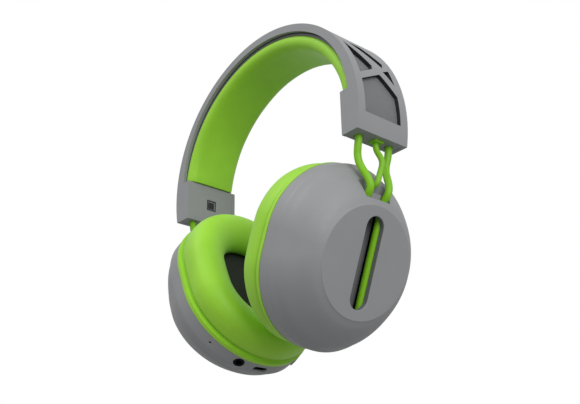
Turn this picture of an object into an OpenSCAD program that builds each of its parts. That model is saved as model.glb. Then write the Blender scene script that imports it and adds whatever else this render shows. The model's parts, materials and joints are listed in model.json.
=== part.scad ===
// Wireless over-ear headphones: a rigid channel-section headband with a padded inner
// side, an end block on each leg, a pair of bent rods running down from each block, and
// an oval cup that slides up and down on them. +X is the wearer's right when facing +Y.
// The origin is midway between the ear cushions, +Z is up, lengths are millimetres.

/* [Headband] */
// width of the band, front to back
band_w = 36; // [34:1:40]
// outer radius of the top of the arch
arch_r1 = 86; // [85:0.5:88]
// outer radius of each leg of the arch
arch_r2 = 75; // [74:0.5:76]
// angle from the vertical at which the top arc hands over to the leg arc
arch_a = 35; // [33:1:37]
// height of the crown of the arch above the origin
crown_z = 140; // [138:1:142]
// skin thickness of the band shell
skin = 2.4; // [2:0.1:2.8]
// thickness of the padding on the inside of the band
pad_t = 7.4; // [5:0.2:8]

/* [End blocks] */
// height of the underside of the end blocks
block_z = 47.4; // [46.5:0.1:48]
// height of an end block
block_h = 25.1; // [24:0.5:26]
// distance of the block's inner face from the centre plane
block_x = 68.5; // [68:0.1:69.5]

/* [Rods and cable] */
// radius of the rods
rod_r = 1.95; // [1.8:0.05:2]
// half the distance between the two rods inside a cup
rod_y = 5.9; // [5.7:0.1:6.1]
// half the distance between the two rods where they leave the block
rod_top_y = 10.8; // [10:0.2:11.5]
// depth of the rods' centre lines below the flat outer face of a cup
rod_depth = 5.1; // [5:0.05:5.2]
// running clearance between a rod and the guide it slides in
rod_gap = 0.06; // [0.04:0.01:0.1]
// radius of the thin cable between block and cup
cable_r = 1.55; // [1.2:0.05:1.6]

/* [Cups] */
// inward lean of the cups
cup_lean = 22.8; // [22:0.2:23.6]
// distance of the centre of a cup's outer face from the centre plane
cup_x = 63.8; // [63:0.2:65]
// how much further down its rods the left cup stands than the right one
left_drop = 2.4; // [0:0.2:4]
// half width of the cup's rim, front to back
rim_r = 42.5; // [42:0.5:43.5]
// how much taller than wide the rim is, as half the difference
rim_o = 6; // [5:0.5:7]
// depth of a cup shell from its outer face to its open edge
cup_d = 29.4; // [29:0.2:30]
// wall thickness of the cup shell
wall = 2; // [1.8:0.1:2.2]
// width of the long slot in the outer face
slot_w = 11.5; // [11:0.25:12]
// length of the long slot in the outer face
slot_l = 47; // [45:0.5:48]

/* [Ear cushions] */
// thickness of an ear cushion
cushion_t = 18.4; // [16:0.2:19]
// radius of the ends of the ear opening
hole_r = 19; // [17:0.5:21]

/* [Ports and buttons] */
// width of the charging port's opening
usb_w = 9.2; // [9:0.1:9.6]
// height of the charging port's opening
usb_h = 3.4; // [3.2:0.1:3.6]
// radius of the headphone socket's bore
jack_r = 1.8; // [1.75:0.05:1.85]
// travel of each button
btn_travel = 0.5; // [0.3:0.1:0.6]

/* [Hidden] */
EPS = 0.01;
face_z = crown_z - 155.3;
leg_dx = (arch_r1 - arch_r2) * sin(arch_a);
leg_z = crown_z - arch_r1 + (arch_r1 - arch_r2) * cos(arch_a);
top_z = crown_z - arch_r1;
grey = "#8c8d8f";
dark = "#4b4c4f";
lime = "#86c927";
black = "#202124";
steel = "#b4b7ba";
brass = "#c8a552";

// ---------- helpers ----------
// solid oval outline of the arch, o millimetres inside the outer surface
module arch2d(o) {
    r1 = arch_r1 - o;
    r2 = arch_r2 - o;
    intersection() {
        translate([0, top_z]) circle(r = r1, $fn = 240);
        translate([0, top_z]) polygon([[0, 0], [-200 * tan(arch_a), 200], [200 * tan(arch_a), 200]]);
    }
    for (s = [-1, 1]) translate([s * leg_dx, leg_z]) circle(r = r2, $fn = 240);
}
// inner edge line of the band's side walls: a little thicker towards the legs
module edge2d() {
    r1 = arch_r1 - 4.5;
    r2 = 64.6;
    intersection() {
        translate([0, top_z]) circle(r = r1, $fn = 240);
        translate([0, top_z]) polygon([[0, 0], [-200 * tan(arch_a), 200], [200 * tan(arch_a), 200]]);
    }
    for (s = [-1, 1])
        translate([s * (r1 - r2) * sin(arch_a), top_z + (r1 - r2) * cos(arch_a)]) circle(r = r2, $fn = 240);
}
// a ring between two depths, stopped at height z0
module ring2d(o0, o1, z0) {
    difference() {
        arch2d(o0);
        arch2d(o1);
        translate([-200, z0 - 200]) square([400, 200]);
    }
}
// stand an XZ outline up and give it width w across Y
module across(w) {
    translate([0, w / 2, 0]) rotate([90, 0, 0]) linear_extrude(height = w) children();
}
// right-hand side as drawn, left-hand side mirrored
module side(s) {
    if (s > 0) children();
    else mirror([1, 0, 0]) children();
}
// cup axes: X out of the flat face, Y front to back, Z up along the rods
module cup(s) {
    side(s) translate([cup_x, 0, face_z]) rotate([0, cup_lean, 0])
        translate([0, 0, s > 0 ? 0 : -left_drop]) children();
}
// oval disc in cup axes, from depth x0 to x1
module oval(x0, x1, r, o) {
    translate([x0, 0, 0]) rotate([0, 90, 0]) {
        for (k = [-1, 1]) translate([k * o, 0, 0]) cylinder(h = x1 - x0, r = r, $fn = 120);
        translate([-o, -r, 0]) cube([2 * o, 2 * r, x1 - x0]);
    }
}
// half-turn of a profile at each end of the oval plus the straight runs between
module oval_ring(o) {
    rotate([0, -90, 0]) {
        translate([o, 0, 0]) rotate([0, 0, -90]) rotate_extrude(angle = 180, $fn = 120) children();
        translate([-o, 0, 0]) rotate([0, 0, 90]) rotate_extrude(angle = 180, $fn = 120) children();
        for (k = [0, 1]) mirror([0, k, 0]) translate([-o, 0, 0])
            rotate([90, 0, 90]) linear_extrude(height = 2 * o) children();
    }
}
// a smooth tube swept along points p as one closed solid
function unit(v) = v / norm(v);
function tangents(p) = [for (i = [0:len(p) - 1]) unit(p[min(i + 1, len(p) - 1)] - p[max(i - 1, 0)])];
module tube(p, r, n = 10, ref = [0, 1, 0.13]) {
    t = tangents(p);
    m = len(p);
    pts = [for (i = [0:m - 1]) let (u = unit(cross(t[i], ref)), v = cross(t[i], u))
        for (j = [0:n - 1]) p[i] + r * (cos(360 * j / n) * u + sin(360 * j / n) * v)];
    polyhedron(pts, concat(
        [[for (j = [0:n - 1]) j]],
        [for (i = [0:m - 2], j = [0:n - 1]) [i * n + j, (i + 1) * n + j, (i + 1) * n + (j + 1) % n, i * n + (j + 1) % n]],
        [[for (j = [n - 1:-1:0]) (m - 1) * n + j]]));
}
function bez(a, b, c, d, t) = pow(1 - t, 3) * a + 3 * pow(1 - t, 2) * t * b + 3 * (1 - t) * t * t * c + t * t * t * d;
function in_cup(v) = [cup_x + v[0] * cos(cup_lean) + v[2] * sin(cup_lean), v[1],
    face_z - v[0] * sin(cup_lean) + v[2] * cos(cup_lean)];

// ---------- headband ----------
// truss windows in the outer skin of a leg, as (y, z) outlines
win_z = crown_z;
windows = [
    [[-13, -82.4], [-13, -62.6], [3, -53.4], [12.6, -65], [12.6, -82.4]],
    [[-13, -33.5], [-13, -58.2], [-1.5, -51.3], [-0.5, -48.3]],
    [[-7, -31], [1, -31], [11, -42], [8.6, -46]],
    [[7.4, -49.4], [13, -46.4], [13, -57.2]]];
module band_shell() color(grey) difference() {
    union() {
        difference() {
            across(band_w) difference() {
                union() {
                    difference() {
                        arch2d(0);
                        edge2d();
                    }
                    intersection() {
                        arch2d(0);
                        for (s = [0, 1]) mirror([s, 0]) translate([block_x, block_z]) square([40, block_h]);
                    }
                }
                translate([-200, block_z - 200]) square([400, 200]);
            }
            // channel behind the skin
            across(band_w - 4.4) difference() {
                arch2d(skin);
                translate([-200, block_z - 250]) square([400, 200]);
                arch2d(40);
            }
        }
        // screw bosses for the rods' anchors
        for (s = [-1, 1], k = [-1, 1]) side(s) translate([76.2, k * 6, block_z + 6]) rotate([0, 90, 0])
            cylinder(h = 3.6, r = 2.6, $fn = 48);
    }
    for (s = [-1, 1], w = windows) side(s)
        translate([50, 0, win_z]) rotate([90, 0, 90]) linear_extrude(height = 60) polygon(w);
    for (s = [-1, 1], k = [-1, 1]) side(s) translate([76, k * 6, block_z + 6]) rotate([0, 90, 0])
        cylinder(h = 2.6, r = 1, $fn = 32);
}
// woven panel behind the windows of one leg
module band_mesh(s) color(dark) side(s) across(band_w - 5) intersection() {
    ring2d(skin + 0.02, skin + 1, block_z + 9.8);
    translate([leg_dx, leg_z]) polygon([[0, 0], [100, -13], [100, 98]]);
}
// spring strip that keeps the arch in shape
module band_spring() color(steel) across(14) ring2d(3.6, 4.4, block_z + 12);
// tray that closes the channel and carries the padding
module band_liner() color(dark) across(band_w - 5) difference() {
    ring2d(4.9, 6.3, block_z + block_h + 0.02);
}
// padding: one soft roll with rounded edges
module band_pad() color(lime) {
    o0 = 6.32;
    hw = band_w / 2 - 1.4;
    c = 3.6;
    a_end = 90 - asin((block_z + block_h + 0.1 - leg_z) / (arch_r2 - o0 - pad_t));
    n = 37;
    sec = concat(
        [[0, -hw + 0.4], [0, hw - 0.4]],
        [for (k = [0:4]) [pad_t - c + c * sin(22.5 * k), hw - c + c * cos(22.5 * k)]],
        [for (k = [4:-1:0]) [pad_t - c + c * sin(22.5 * k), -hw + c - c * cos(22.5 * k)]]);
    m = len(sec);
    pts = [for (i = [0:n - 1]) let (a = -a_end + 2 * a_end * i / (n - 1), t = abs(a) < arch_a,
        cx = t ? 0 : sign(a) * leg_dx, cz = t ? top_z : leg_z, r = (t ? arch_r1 : arch_r2) - o0)
        for (q = sec) [cx + (r - q[0]) * sin(a), q[1], cz + (r - q[0]) * cos(a)]];
    polyhedron(pts, concat(
        [[for (j = [m - 1:-1:0]) j]],
        [for (i = [0:n - 2], j = [0:m - 1]) [i * m + j, i * m + (j + 1) % m, (i + 1) * m + (j + 1) % m, (i + 1) * m + j]],
        [[for (j = [0:m - 1]) (n - 1) * m + j]]));
}
// plate on the inner face of an end block
module block_plate(s) color(grey) side(s) difference() {
    translate([block_x, -band_w / 2 + 2.24, block_z + 1.4]) cube([1.8, band_w - 4.48, block_h - 1.4]);
    translate([block_x - 1, -3.5, block_z + 9]) cube([1.4, 7, 7]);
    translate([block_x - 1.5, -2.4, block_z + 10.1]) cube([2.2, 4.8, 4.8]);
}
// recessed underside of an end block, pierced for the rods and the cable
module block_base(s) color(dark) side(s) difference() {
    translate([block_x + 0.02, -band_w / 2 + 2.24, block_z + 0.15]) cube([8.6, band_w - 4.48, 1.2]);
    for (k = [-1, 1]) translate([73.1, k * rod_top_y, block_z - 1]) cylinder(h = 4, r = rod_r + 0.3, $fn = 48);
    translate([71.5, -2.2, block_z]) cube([5.2, 6.4, 4]);
}

// ---------- rods, cable ----------
// centre line of a rod: down from the anchor, in towards the other rod, then out over the lip of the cup
rod_e = in_cup([-rod_depth, rod_y, 31.6]);
rod_pts = [[73.1, rod_top_y, block_z + 3.5], [73.1, rod_top_y, block_z - 0.6], [72.2, rod_top_y, crown_z - 98],
    [71.2, rod_top_y - 0.5, crown_z - 102], [71.3, rod_top_y - 1.2, crown_z - 106], [72.6, rod_top_y - 2, crown_z - 110],
    [74.3, rod_top_y - 3.1, crown_z - 114], in_cup([-3.8, 6.65, 38.6]), in_cup([-3.4, 6.15, 35.6]),
    in_cup([-4.4, 5.97, 33.5]), rod_e, in_cup([-rod_depth, rod_y, 29])];
module bar(a, b, r) {
    v = b - a;
    translate(a) rotate([0, acos(v[2] / norm(v)), atan2(v[1], v[0])]) cylinder(h = norm(v), r = r, $fn = 48);
}
// two bent rods hanging from a shared anchor bar
module yoke(s) color(lime) side(s) {
    difference() {
        translate([71.2, -13.2, block_z + 2]) cube([4.9, 26.4, 8]);
        for (k = [-1, 1]) translate([70, k * 6, block_z + 6]) rotate([0, 90, 0]) {
            cylinder(h = 8, r = 1.3, $fn = 32);
            cylinder(h = 2.8, r = 2.35, $fn = 32);
        }
    }
    for (k = [0, 1]) mirror([0, k, 0]) {
        tube(rod_pts, rod_r - 0.02, 12);
        bar(rod_e, in_cup([-rod_depth, rod_y, -27]), rod_r);
    }
}
module yoke_screws(s) color(steel) side(s) for (k = [-1, 1]) translate([71.4, k * 6, block_z + 6])
    rotate([0, 90, 0]) difference() {
        union() {
            cylinder(h = 1.3, r = 2.1, $fn = 32);
            cylinder(h = 7, r = 0.95, $fn = 32);
        }
        for (q = [0, 90]) rotate([0, 0, q]) translate([-1.1, -0.25, -1]) cube([2.2, 0.5, 1.7]);
    }
// clip that ties the lower ends of the two rods together and stops the slide
module rod_clip(s) color(dark) side(s) translate([cup_x, 0, face_z]) rotate([0, cup_lean, 0]) difference() {
    translate([-9.4, -7.85, -28.5]) cube([6.2, 15.7, 5]);
    for (k = [-1, 1]) translate([-rod_depth, k * rod_y, -27.02]) cylinder(h = 6, r = rod_r + 0.01, $fn = 48);
}
module grommet(s) color(lime) side(s) difference() {
    union() {
        translate([71.6, -2.1, block_z - 0.9]) cube([5, 6.2, 2.8]);
        translate([71, -2.8, block_z + 1.42]) cube([5.8, 7.6, 0.5]);
    }
    translate(cable_a) cylinder(h = 8, r = cable_r + 0.02, center = true, $fn = 40);
}
cable_a = [73.4, 1, block_z];
// the last points dip through the hole in the channel floor; d is the cup's drop
function cable_p(d) = [cable_a + [0, 0, 1.7], cable_a + [-0.05, 0, -1.2], [73, 1.1, crown_z - 96],
    [74.4, 1.5, crown_z - 99.4], [76, 2, crown_z - 102.3], [76.3, 2.1, crown_z - 105.6], [75.3, 1.6, crown_z - 108.8],
    [74.7, 0.6, crown_z - 112 - 0.1 * d], in_cup([-4.9, -0.6, 40.6 - 0.4 * d]), in_cup([-6.4, -1.1, 38.5 - 0.9 * d]),
    in_cup([-9, -1.4, 37.7 - d]), in_cup([-12.5, -1.5, 37.4 - d]), in_cup([-16, -1.5, 37.2 - d])];
module cable(s) color(lime) side(s) tube(cable_p(s < 0 ? left_drop : 0), cable_r);

// ---------- cups ----------
// stations of the cup's outer surface: depth, radius front to back, extra half height
dome = [[-cup_d, rim_r, rim_o], [-21.5, rim_r, rim_o], [-15, rim_r - 2.1, rim_o - 1], [-8, rim_r - 6.1, rim_o - 2.8],
    [-2.6, 32.3, 1], [-0.6, 29.2, 0], [0, 28.6, 0]];
dome_n = 64;
// closed skin through the rings; t sets it inwards
module dome_solid(t) {
    q = t == 0 ? dome : [for (i = [0:len(dome) - 2]) dome[i]];
    m = len(q);
    pts = [for (i = [0:m - 1], j = [0:dome_n - 1]) let (a = 360 * (j + 0.5) / dome_n)
        [q[i][0] - t, (q[i][1] - t * 0.9) * cos(a), (q[i][1] - t * 0.9) * sin(a) + q[i][2] * sign(sin(a))]];
    polyhedron(pts, concat(
        [[for (j = [0:dome_n - 1]) j]],
        [for (i = [0:m - 2], j = [0:dome_n - 1], h = [0, 1]) let (k = (j + 1) % dome_n)
            h == 0 ? [i * dome_n + j, (i + 1) * dome_n + j, (i + 1) * dome_n + k] : [i * dome_n + j, (i + 1) * dome_n + k, i * dome_n + k]],
        [[for (j = [dome_n - 1:-1:0]) (m - 1) * dome_n + j]]));
}
// outline of the rod channel in (y, z): straight below the lip, flared above it
module channel2d(e) {
    polygon([[-8.2 - e, -32.3 - e], [8.2 + e, -32.3 - e], [8.2 + e, 31.8], [13 + e, 50], [-13 - e, 50], [-8.2 - e, 31.8]]);
}
module plate2d(x0, x1) {
    translate([x0, 0, 0]) rotate([90, 0, 90]) linear_extrude(height = x1 - x0) children();
}
btn_y = [[-10, "up"], [0, "power"], [10, "down"]];
// radial frame on the rim band at angle a from straight down, towards the front for negative a
module at_rim(a, depth, r = rim_r) {
    translate([depth, 0, -rim_o]) rotate([a, 0, 0]) translate([0, 0, -r]) children();
}
module posts(r, x0, h) {
    for (k = [-1, 1], m = [-1, 1]) translate([x0, k * 33, m * 18]) rotate([0, 90, 0]) cylinder(h = h, r = r, $fn = 40);
}
module cup_shell(s) color(grey) cup(s) difference() {
    dome_solid(0);
    // hollow inside, leaving the tray under the channel and the screw posts
    difference() {
        dome_solid(wall);
        plate2d(-11.2, 5) channel2d(1.5);
        posts(2.6, -27.3, 30);
    }
    // channel for the rods and its open mouth above the lip
    plate2d(-9.8, -2.8) channel2d(0);
    intersection() {
        plate2d(-9.8, 5) channel2d(0);
        translate([-20, -30, 31.8]) cube([40, 60, 40]);
    }
    // long slot in the flat face
    plate2d(-6, 5) union() {
        for (k = [-1, 1]) translate([0, k * (slot_l - slot_w) / 2]) circle(r = slot_w / 2, $fn = 72);
        translate([-slot_w / 2, -(slot_l - slot_w) / 2]) square([slot_w, slot_l - slot_w]);
    }
    // hole for the cable
    translate([-12, -1.5, 37.4]) rotate([0, 90, 0]) cylinder(h = 4, r = 1.9, $fn = 40);
    posts(1, -27.4, 8.5);
    if (s < 0) {
        translate([-25.2, 0, -49]) cube([usb_h, usb_w, 12], center = true);
        at_rim(-18.9, -25.2) cylinder(h = 12, r = 3.1, center = true, $fn = 48);
        at_rim(-44.9, -25.2) cylinder(h = 12, r = 0.7, center = true, $fn = 32);
        for (q = btn_y) at_rim(58 + q[0] * 1.6, -25.2) cube([4.6, 7.4, 12], center = true);
    }
}
// block inside the cup that the rods run through, with a tongue between them
module slide_guide(s) color(dark) cup(s) difference() {
    union() {
        translate([-9.78, -8.18, 24.5]) cube([6.96, 16.36, 6.8]);
        translate([-9.78, -3.2, 31]) cube([5, 6.4, 3.8]);
    }
    for (k = [-1, 1]) translate([-rod_depth, k * rod_y, 20]) cylinder(h = 20, r = rod_r + rod_gap, $fn = 64);
}
// plate that closes the cup and carries the driver
module baffle(s) color(dark) cup(s) difference() {
    union() {
        oval(-cup_d - 0.1, -cup_d + 1.95, rim_r - wall - 0.15, rim_o);
        oval(-cup_d - 1.9, -cup_d - 0.09, rim_r - 1.4, rim_o);
    }
    translate([-cup_d - 5, 0, 0]) rotate([0, 90, 0]) cylinder(h = 12, r = 18.6, $fn = 96);
    posts(1.3, -cup_d - 3, 8);
    posts(2.4, -cup_d - 3, 2.6);
    // room for the collar of the headphone socket
    if (s < 0) at_rim(-18.9, -25.2) cylinder(h = 12, r = 3.3, center = true, $fn = 48);
}
module baffle_screws(s) color(steel) cup(s) difference() {
    union() {
        posts(2.1, -cup_d - 1.8, 1.35);
        posts(0.95, -cup_d - 1.8, 9);
    }
    for (k = [-1, 1], m = [-1, 1], q = [0, 90]) translate([-cup_d - 1.8, k * 33, m * 18]) rotate([q, 0, 0])
        translate([-0.3, -0.25, -1.1]) cube([1, 0.5, 2.2]);
}
// 40 mm driver: basket, magnet and a thin domed cone
module driver(s) color(black) cup(s) translate([-cup_d + 1.97, 0, 0]) rotate([0, 90, 0]) difference() {
    union() {
        cylinder(h = 2, r = 20, $fn = 96);
        cylinder(h = 6, r = 18.4, $fn = 96);
        cylinder(h = 9, r = 9, $fn = 64);
    }
    translate([0, 0, -1]) cylinder(h = 2.5, r = 17.4, $fn = 96);
    translate([0, 0, 1.4]) cylinder(h = 3.6, r1 = 16.4, r2 = 6, $fn = 96);
}
// cloth over the inside of the ear opening
module speaker_cloth(s) color(black) cup(s) oval(-cup_d - 3.5, -cup_d - 2.72, 29.6, rim_o);
// flange the cushion is bonded to: a thin lip proud of the shell and a groove behind it
module cushion_ring(s) color(lime) cup(s) oval_ring(rim_o)
    polygon([[29.8, cup_d + 1.92], [rim_r - 1.3, cup_d + 1.92], [rim_r - 1.3, cup_d + 0.05], [rim_r + 0.2, cup_d + 0.05],
        [rim_r + 0.2, cup_d + 2.2], [rim_r - 1.7, cup_d + 2.6], [rim_r - 1.7, cup_d + 3.6], [29.8, cup_d + 3.6]]);
// cushion: one closed ring, softly rounded
module ear_cushion(s) color(lime) cup(s) oval_ring(rim_o) {
    x0 = cup_d + 3.62;
    x1 = cup_d + 2 + cushion_t;
    translate([hole_r + 7, x0]) square([rim_r - hole_r - 14, x1 - x0]);
    translate([hole_r, x0 + 5]) square([rim_r - 0.4 - hole_r, x1 - x0 - 13]);
    translate([hole_r + 7, x1 - 8]) intersection() {
        circle(r = 8, $fn = 72);
        translate([-7, -20]) square([20, 40]);
    }
    translate([rim_r - 8.4, x1 - 8]) circle(r = 8, $fn = 72);
    translate([rim_r - 6.4, x0 + 6]) circle(r = 6, $fn = 72);
    translate([hole_r + 5, x0 + 5]) circle(r = 5, $fn = 72);
}

// ---------- electronics ----------
module circuit_board() color("#2f6b45") cup(-1) {
    translate([-22.9, -22, -38.5]) cube([1, 44, 19.4]);
    translate([-22.9, -7, -45.1]) cube([1, 14, 8]);
}
module charging_port() color(steel) cup(-1) translate([-25.2, 0, -43.4]) {
    difference() {
        cube([usb_h - 0.1, usb_w - 0.1, 7.6], center = true);
        translate([0, 0, -1]) cube([usb_h - 0.8, usb_w - 0.8, 7.6], center = true);
    }
    translate([-0.35, -3.3, -2.6]) cube([0.7, 6.6, 6]);
    translate([1.5, -4, 0]) cube([0.75, 8, 3]);
}
module headphone_socket() color(black) cup(-1) at_rim(-18.9, -25.2) difference() {
    union() {
        translate([0, 0, 0.3]) cylinder(h = 3, r = 3.05, $fn = 48);
        translate([-2.15, -3.2, 3.2]) cube([4.3, 6.4, 12.6]);
    }
    translate([0, 0, -1]) cylinder(h = 16, r = jack_r, $fn = 48);
}
module microphone() color(black) cup(-1) at_rim(-44.9, -25.2) difference() {
    translate([0, 0, 2.3]) cylinder(h = 1.6, r = 2.1, $fn = 40);
    cylinder(h = 3, r = 0.5, $fn = 32);
}
module battery() color("#3a3f4a") cup(1) translate([-19, -17, -35]) cube([5.6, 34, 24]);
module button(a) color(grey) cup(-1) at_rim(a, -25.2) union() {
    translate([-2, -3.4, -0.7]) cube([4, 6.8, 3.2]);
    translate([-2.1, -4.6, 2.6]) cube([4.2, 9.2, 0.9]);
    translate([-2, -3.4, 2]) cube([4, 6.8, 1]);
}

band_shell();
band_mesh(-1);  // band_mesh_l
band_mesh(1);  // band_mesh_r
band_spring();
band_liner();
band_pad();
block_plate(-1);  // block_plate_l
block_plate(1);  // block_plate_r
block_base(-1);  // block_base_l
block_base(1);  // block_base_r
yoke(-1);  // yoke_l
yoke(1);  // yoke_r
yoke_screws(-1);  // yoke_screws_l
yoke_screws(1);  // yoke_screws_r
rod_clip(-1);  // rod_clip_l
rod_clip(1);  // rod_clip_r
grommet(-1);  // grommet_l
grommet(1);  // grommet_r
cable(-1);  // cable_l
cable(1);  // cable_r
cup_shell(-1);  // cup_shell_l
cup_shell(1);  // cup_shell_r
slide_guide(-1);  // slide_guide_l
slide_guide(1);  // slide_guide_r
baffle(-1);  // baffle_l
baffle(1);  // baffle_r
driver(-1);  // driver_l
driver(1);  // driver_r
speaker_cloth(-1);  // speaker_cloth_l
speaker_cloth(1);  // speaker_cloth_r
cushion_ring(-1);  // cushion_ring_l
cushion_ring(1);  // cushion_ring_r
ear_cushion(-1);  // ear_cushion_l
ear_cushion(1);  // ear_cushion_r
baffle_screws(-1);  // baffle_screws_l
baffle_screws(1);  // baffle_screws_r
circuit_board();
charging_port();
headphone_socket();
microphone();
battery();
button(58);  // button_power
button(42);  // button_up
button(74);  // button_down
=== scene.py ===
import bpy, bmesh, json, math
import numpy as np
from mathutils import Vector, Matrix


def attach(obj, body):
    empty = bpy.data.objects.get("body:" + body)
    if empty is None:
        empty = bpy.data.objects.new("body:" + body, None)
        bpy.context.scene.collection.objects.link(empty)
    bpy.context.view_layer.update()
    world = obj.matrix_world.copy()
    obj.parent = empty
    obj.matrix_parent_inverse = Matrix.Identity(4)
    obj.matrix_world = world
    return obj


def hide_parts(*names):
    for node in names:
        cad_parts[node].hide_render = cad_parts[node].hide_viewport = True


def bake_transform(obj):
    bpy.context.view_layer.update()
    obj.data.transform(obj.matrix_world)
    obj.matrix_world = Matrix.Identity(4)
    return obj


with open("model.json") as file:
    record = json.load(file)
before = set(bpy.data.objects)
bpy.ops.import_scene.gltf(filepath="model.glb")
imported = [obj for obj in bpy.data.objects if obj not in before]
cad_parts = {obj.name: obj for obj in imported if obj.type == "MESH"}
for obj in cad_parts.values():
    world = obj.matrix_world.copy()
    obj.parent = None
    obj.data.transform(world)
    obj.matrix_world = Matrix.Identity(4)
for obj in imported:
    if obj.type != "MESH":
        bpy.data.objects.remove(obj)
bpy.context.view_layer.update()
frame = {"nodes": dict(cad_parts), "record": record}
NODES = frame["nodes"]
SC = bpy.context.scene
MM = 0.001


# ---------------------------------------------------------------- camera
def make_camera():
    a, e, r = math.radians(49.166), math.radians(-23.365), math.radians(-1.197)
    fw = Vector((-math.sin(a) * math.cos(e), math.cos(a) * math.cos(e), -math.sin(e)))
    r0 = Vector((math.cos(a), math.sin(a), 0))
    u0 = r0.cross(fw)
    right = math.cos(r) * r0 + math.sin(r) * u0
    up = -math.sin(r) * r0 + math.cos(r) * u0
    data = bpy.data.cameras.new("cam")
    data.lens = 54.39
    data.sensor_width = 36
    data.clip_start = 0.01
    cam = bpy.data.objects.new("cam", data)
    m = Matrix.Identity(4)
    for i in range(3):
        m[i][0], m[i][1], m[i][2] = right[i], up[i], -fw[i]
    m.translation = Vector((0.34671, -0.29375, -0.15723))
    cam.matrix_world = m
    SC.collection.objects.link(cam)
    SC.camera = cam
    return fw, right, up


FW, RIGHT, UP = make_camera()


# ---------------------------------------------------------------- materials
def srgb(h):
    h = h.lstrip("#")
    v = [int(h[i:i + 2], 16) / 255 for i in (0, 2, 4)]
    return tuple(x / 12.92 if x <= 0.04045 else ((x + 0.055) / 1.055) ** 2.4 for x in v) + (1,)


class Mat:
    """A Principled material with its nodes laid down through short helpers."""

    def __init__(self, name, color, rough=0.5, spec=0.5, **kw):
        self.m = bpy.data.materials.new(name)
        self.m.use_nodes = True
        self.t = self.m.node_tree
        self.b = self.t.nodes["Principled BSDF"]
        self.b.inputs["Base Color"].default_value = color
        self.b.inputs["Roughness"].default_value = rough
        self.b.inputs["Specular IOR Level"].default_value = spec
        for k, v in kw.items():
            self.b.inputs[k.replace("_", " ")].default_value = v
        self.h = []
        self.co = self.t.nodes.new("ShaderNodeTexCoord").outputs["Object"]

    def n(self, kind, **kw):
        x = self.t.nodes.new("ShaderNode" + kind)
        for k, v in kw.items():
            if k in x.inputs:
                x.inputs[k].default_value = v
            else:
                setattr(x, k, v)
        return x

    def l(self, a, b):
        self.t.links.new(a, b)

    def math(self, op, a, b=None):
        x = self.n("Math", operation=op)
        for i, v in enumerate((a, b)):
            if v is None:
                continue
            if isinstance(v, (int, float)):
                x.inputs[i].default_value = v
            else:
                self.l(v, x.inputs[i])
        return x.outputs[0]

    def noise(self, scale, detail=2.0, rough=0.5, co=None):
        x = self.n("TexNoise", Scale=scale, Detail=detail, Roughness=rough)
        self.l(co or self.co, x.inputs["Vector"])
        return x.outputs["Fac"]

    def voronoi(self, scale, feature="DISTANCE_TO_EDGE", co=None):
        x = self.n("TexVoronoi", Scale=scale)
        x.feature = feature
        self.l(co or self.co, x.inputs["Vector"])
        return x.outputs["Distance"]

    def ramp(self, fac, stops):
        x = self.n("ValToRGB")
        e = x.color_ramp.elements
        while len(e) < len(stops):
            e.new(0.5)
        for k, (p, c) in zip(e, stops):
            k.position = p
            k.color = c if isinstance(c, tuple) else (c, c, c, 1)
        self.l(fac, x.inputs["Fac"])
        return x.outputs["Color"]

    def vary(self, fac, amount, lo=0.3, hi=0.7):
        """Base colour varies by plus or minus amount as fac goes from lo to hi."""
        c = self.b.inputs["Base Color"].default_value
        a = tuple(max(0, x * (1 - amount)) for x in c[:3]) + (1,)
        b = tuple(min(1, x * (1 + amount)) for x in c[:3]) + (1,)
        self.l(self.ramp(fac, [(lo, a), (hi, b)]), self.b.inputs["Base Color"])

    def rough(self, fac, a, b):
        self.l(self.ramp(fac, [(0.3, a), (0.7, b)]), self.b.inputs["Roughness"])

    def bump(self, height, dist, strength=1.0):
        x = self.n("Bump", Strength=strength, Distance=dist)
        self.l(height, x.inputs["Height"])
        if self.h:
            self.l(self.h[-1], x.inputs["Normal"])
        self.h.append(x.outputs["Normal"])
        self.l(x.outputs["Normal"], self.b.inputs["Normal"])


def moulded(name, color, rough=0.46, spec=0.42, grain=0.00003, var=0.025, coat=0.0):
    """Moulded plastic with a fine spark-eroded grain and slight flow marks."""
    m = Mat(name, srgb(color), rough, spec)
    if coat:
        m.b.inputs["Coat Weight"].default_value = coat
        m.b.inputs["Coat Roughness"].default_value = 0.3
    m.vary(m.noise(38, 3), var)
    m.rough(m.noise(420, 4), rough - 0.05, rough + 0.06)
    m.bump(m.noise(2600, 2), grain, 0.6)
    m.bump(m.noise(90, 2), grain * 1.2, 0.25)
    return m.m


def leatherette(name, color, rough=0.5, pebble=1150, depth=0.000042):
    """Soft protein leather: pebbled grain, faint pores and a slight tonal drift."""
    m = Mat(name, srgb(color), rough, 0.36)
    m.b.inputs["Sheen Weight"].default_value = 0.12
    m.b.inputs["Sheen Roughness"].default_value = 0.45
    drift = m.noise(55, 3)
    m.vary(drift, 0.045)
    cells = m.voronoi(pebble)
    m.rough(m.noise(260, 4), rough - 0.06, rough + 0.07)
    m.bump(cells, depth, 0.55)
    m.bump(m.noise(3200, 2), depth * 0.3, 0.4)
    m.bump(m.noise(70, 3), depth * 3, 0.2)
    return m.m


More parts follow.
